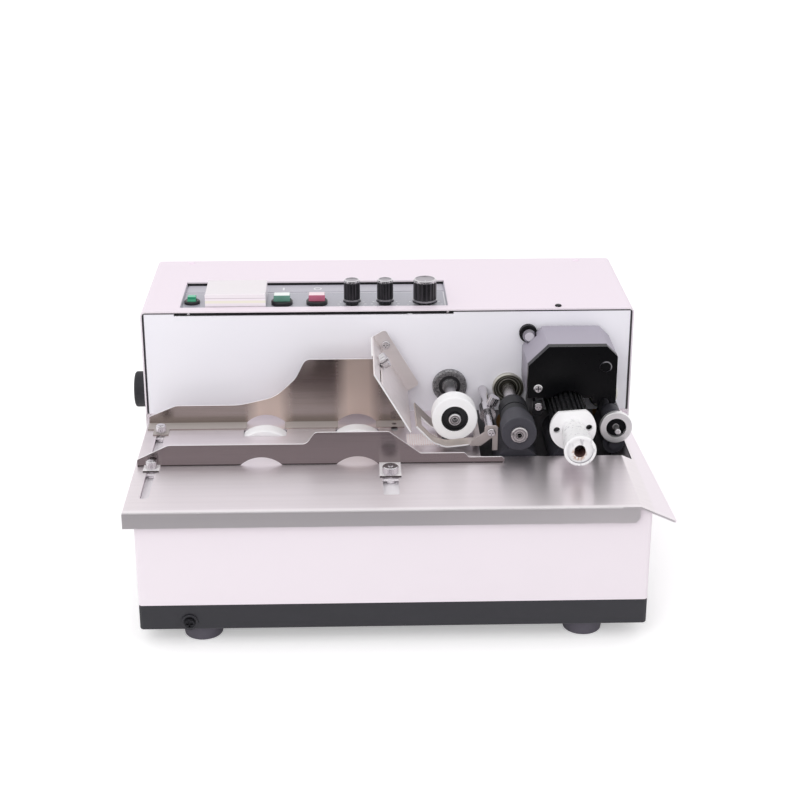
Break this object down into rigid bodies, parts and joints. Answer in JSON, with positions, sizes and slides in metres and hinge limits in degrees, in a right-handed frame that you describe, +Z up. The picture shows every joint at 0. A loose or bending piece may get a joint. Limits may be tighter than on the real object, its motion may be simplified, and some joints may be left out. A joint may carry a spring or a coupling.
{
  "type": "batch coding machine",
  "caption": "Desk-top coding machine: feed table with sliding guides and a slanted gate, separator wheel, rollers, heated type wheel under a swinging ink head, control panel.",
  "frame": {"origin": "on the surface that the rubber feet rest on, under the middle of the whole machine", "axes": "+Z up, +X the way the paper travels, +Y from the operator to the back"},
  "size_m": [0.4065, 0.3221, 0.2152],
  "materials": {
    "shell_paint": "smooth powder coat",
    "panel_paint": "smooth powder coat",
    "tray_paint": "satin powder coat",
    "foot_rubber": "moulded",
    "screw_steel": "plated",
    "table_steel": "brushed",
    "guide_steel": "brushed",
    "nut_steel": "knurled and plated",
    "shaft_steel": "ground",
    "frame_steel": "plated",
    "bush_bronze": "turned",
    "collar_steel": "turned",
    "motor_metal": "painted",
    "belt_rubber": "moulded",
    "wheel_rubber": "ground",
    "white_rubber": "ground",
    "dust_tray_paint": "smooth powder coat",
    "hub_plastic": "turned",
    "type_plastic": "turned",
    "hub_metal": "turned",
    "heater_metal": "milled",
    "ink_felt": "ink-soaked felt",
    "cover_plastic": "moulded",
    "pad_rubber": "moulded",
    "control_paint": "satin",
    "switch_plastic": "moulded",
    "green_plastic": "moulded",
    "red_plastic": "moulded",
    "counter_plastic": "moulded",
    "lid_clear": "polished clear plastic",
    "board_laminate": "laminate"
  },
  "bodies": {
    "machine": {"base_shell": "shell_paint", "base_tray": "tray_paint", "rubber_feet": "foot_rubber", "case_screws": "screw_steel", "table_plate": "table_steel", "slot_trays": "dust_tray_paint", "friction_pad": "pad_rubber", "housing_cover": "shell_paint", "front_panel": "panel_paint", "rear_panel": "panel_paint", "power_inlet": "switch_plastic", "inner_frame": "frame_steel", "shaft_bushes": "bush_bronze", "panel_collars": "collar_steel", "gear_motor": "motor_metal", "drive_belts": "belt_rubber", "gate_bracket": "guide_steel", "gate_screws": "screw_steel", "guide_rod": "guide_steel", "pivot_nut": "nut_steel", "ink_bracket": "guide_steel", "control_panel": "control_paint", "switch_bodies": "switch_plastic", "counter_unit": "counter_plastic", "control_board": "board_laminate"},
    "feed_left": {"feed_wheel_left": "white_rubber"},
    "feed_right": {"feed_wheel_right": "white_rubber"},
    "lower_feed": {"lower_feed_roller": "wheel_rubber"},
    "lower_pull": {"lower_pull_roller": "wheel_rubber"},
    "impression": {"impression_roller": "wheel_rubber"},
    "lower_outfeed": {"lower_outfeed_roller": "wheel_rubber"},
    "type_wheel": {"type_drum": "hub_plastic", "type_disc": "type_plastic", "type_hub": "hub_metal", "type_shaft": "shaft_steel"},
    "press": {"press_roller": "wheel_rubber", "press_shaft": "shaft_steel"},
    "outfeed": {"outfeed_roller": "wheel_rubber", "outfeed_shaft": "shaft_steel"},
    "separator": {"separator_wheel": "white_rubber", "separator_hub": "hub_plastic", "separator_shaft": "shaft_steel"},
    "motor": {"motor_pulley": "shaft_steel"},
    "ink_head": {"ink_cover": "cover_plastic", "heater_block": "heater_metal"},
    "ink_roll": {"ink_roll": "ink_felt"},
    "power_rocker": {"power_rocker": "green_plastic"},
    "counter_cover": {"counter_cover": "lid_clear"},
    "start_button": {"start_button": "green_plastic"},
    "stop_button": {"stop_button": "red_plastic"},
    "feed_knob": {"feed_knob": "switch_plastic"},
    "heat_knob": {"heat_knob": "switch_plastic"},
    "speed_knob": {"speed_knob": "switch_plastic"},
    "side_knob": {"side_knob": "switch_plastic"},
    "rear_guide": {"rear_guide": "guide_steel", "rear_guide_nuts": "nut_steel"},
    "front_guide": {"front_guide": "guide_steel", "front_guide_nuts": "nut_steel"},
    "gate": {"gate_plate": "guide_steel"},
    "curved_guide": {"curved_guide": "guide_steel"}
  },
  "joints": [
    {"name": "impression_spin", "type": "hinge", "parent": "machine", "child": "impression", "pos_m": [0.138, 0.01, 0.0997], "axis": [0, 1, 0], "continuous": true},
    {"name": "feed_left_spin", "type": "hinge", "parent": "machine", "child": "feed_left", "pos_m": [-0.0975, 0.01, 0.0882], "axis": [0, 1, 0], "continuous": true},
    {"name": "feed_right_spin", "type": "hinge", "parent": "machine", "child": "feed_right", "pos_m": [-0.0255, 0.01, 0.0882], "axis": [0, 1, 0], "continuous": true},
    {"name": "lower_feed_spin", "type": "hinge", "parent": "machine", "child": "lower_feed", "pos_m": [0.0493, 0.01, 0.0997], "axis": [0, 1, 0], "continuous": true},
    {"name": "lower_pull_spin", "type": "hinge", "parent": "machine", "child": "lower_pull", "pos_m": [0.0963, 0.01, 0.0997], "axis": [0, 1, 0], "continuous": true},
    {"name": "lower_outfeed_spin", "type": "hinge", "parent": "machine", "child": "lower_outfeed", "pos_m": [0.1735, 0.01, 0.1078], "axis": [0, 1, 0], "continuous": true},
    {"name": "type_spin", "type": "hinge", "parent": "machine", "child": "type_wheel", "pos_m": [0.138, 0.01, 0.13], "axis": [0, 1, 0], "continuous": true},
    {"name": "press_spin", "type": "hinge", "parent": "machine", "child": "press", "pos_m": [0.0963, 0.01, 0.13], "axis": [0, 1, 0], "continuous": true},
    {"name": "outfeed_spin", "type": "hinge", "parent": "machine", "child": "outfeed", "pos_m": [0.1735, 0.01, 0.124], "axis": [0, 1, 0], "continuous": true},
    {"name": "motor_spin", "type": "hinge", "parent": "machine", "child": "motor", "pos_m": [0.08, 0.0846, 0.055], "axis": [0, 1, 0], "continuous": true},
    {"name": "separator_spin", "type": "hinge", "parent": "machine", "child": "separator", "pos_m": [0.0493, 0.01, 0.1322], "axis": [0, 1, 0], "continuous": true},
    {"name": "ink_head_swing", "type": "hinge", "parent": "machine", "child": "ink_head", "pos_m": [0.1115, 0.0206, 0.1765], "axis": [0, -1, 0], "range_deg": [0, 60]},
    {"name": "ink_roll_spin", "type": "hinge", "parent": "ink_head", "child": "ink_roll", "pos_m": [0.14, -0.007, 0.15973], "axis": [0, 1, 0], "continuous": true},
    {"name": "power_rocker_tip", "type": "hinge", "parent": "machine", "child": "power_rocker", "pos_m": [-0.157, 0.054, 0.1947], "axis": [1, 0, 0], "range_deg": [-12, 12]},
    {"name": "counter_cover_lift", "type": "hinge", "parent": "machine", "child": "counter_cover", "pos_m": [-0.121, 0.0744, 0.1959], "axis": [-1, 0, 0], "range_deg": [0, 100]},
    {"name": "start_button_press", "type": "slide", "parent": "machine", "child": "start_button", "axis": [0, 0, -1], "range_m": [0, 0.003], "stiffness_N_per_m": 300, "springref_m": -0.002},
    {"name": "stop_button_press", "type": "slide", "parent": "machine", "child": "stop_button", "axis": [0, 0, -1], "range_m": [0, 0.003], "stiffness_N_per_m": 300, "springref_m": -0.002},
    {"name": "feed_knob_turn", "type": "hinge", "parent": "machine", "child": "feed_knob", "pos_m": [-0.0284, 0.048, 0.1937], "axis": [0, 0, 1], "range_deg": [-150, 150]},
    {"name": "heat_knob_turn", "type": "hinge", "parent": "machine", "child": "heat_knob", "pos_m": [-0.0018, 0.048, 0.1937], "axis": [0, 0, 1], "range_deg": [-150, 150]},
    {"name": "speed_knob_turn", "type": "hinge", "parent": "machine", "child": "speed_knob", "pos_m": [0.03, 0.046, 0.1937], "axis": [0, 0, 1], "range_deg": [-150, 150]},
    {"name": "side_knob_turn", "type": "hinge", "parent": "machine", "child": "side_knob", "pos_m": [-0.1955, 0.044, 0.124], "axis": [1, 0, 0], "continuous": true},
    {"name": "rear_guide_slide", "type": "slide", "parent": "machine", "child": "rear_guide", "axis": [0, 1, 0], "range_m": [-0.009, 0.009]},
    {"name": "front_guide_slide", "type": "slide", "parent": "machine", "child": "front_guide", "axis": [0, 1, 0], "range_m": [-0.028, 0.004]},
    {"name": "gate_slide", "type": "slide", "parent": "machine", "child": "gate", "axis": [0, 1, 0], "range_m": [-0.014, 0]},
    {"name": "curved_guide_lift", "type": "hinge", "parent": "machine", "child": "curved_guide", "pos_m": [0.076, -0.062, 0.128], "axis": [0, 1, 0], "range_deg": [0, 10]}
  ],
  "couplings": [
    {"joint": "feed_left_spin", "follows": "impression_spin", "ratio": 0.55769},
    {"joint": "feed_right_spin", "follows": "impression_spin", "ratio": 0.55769},
    {"joint": "lower_feed_spin", "follows": "impression_spin", "ratio": 1},
    {"joint": "lower_pull_spin", "follows": "impression_spin", "ratio": 1},
    {"joint": "lower_outfeed_spin", "follows": "impression_spin", "ratio": 2},
    {"joint": "type_spin", "follows": "impression_spin", "ratio": -1},
    {"joint": "press_spin", "follows": "impression_spin", "ratio": -1.2556},
    {"joint": "outfeed_spin", "follows": "impression_spin", "ratio": -2.2973},
    {"joint": "motor_spin", "follows": "impression_spin", "ratio": 1},
    {"joint": "ink_roll_spin", "follows": "impression_spin", "ratio": 1.0345}
  ]
}
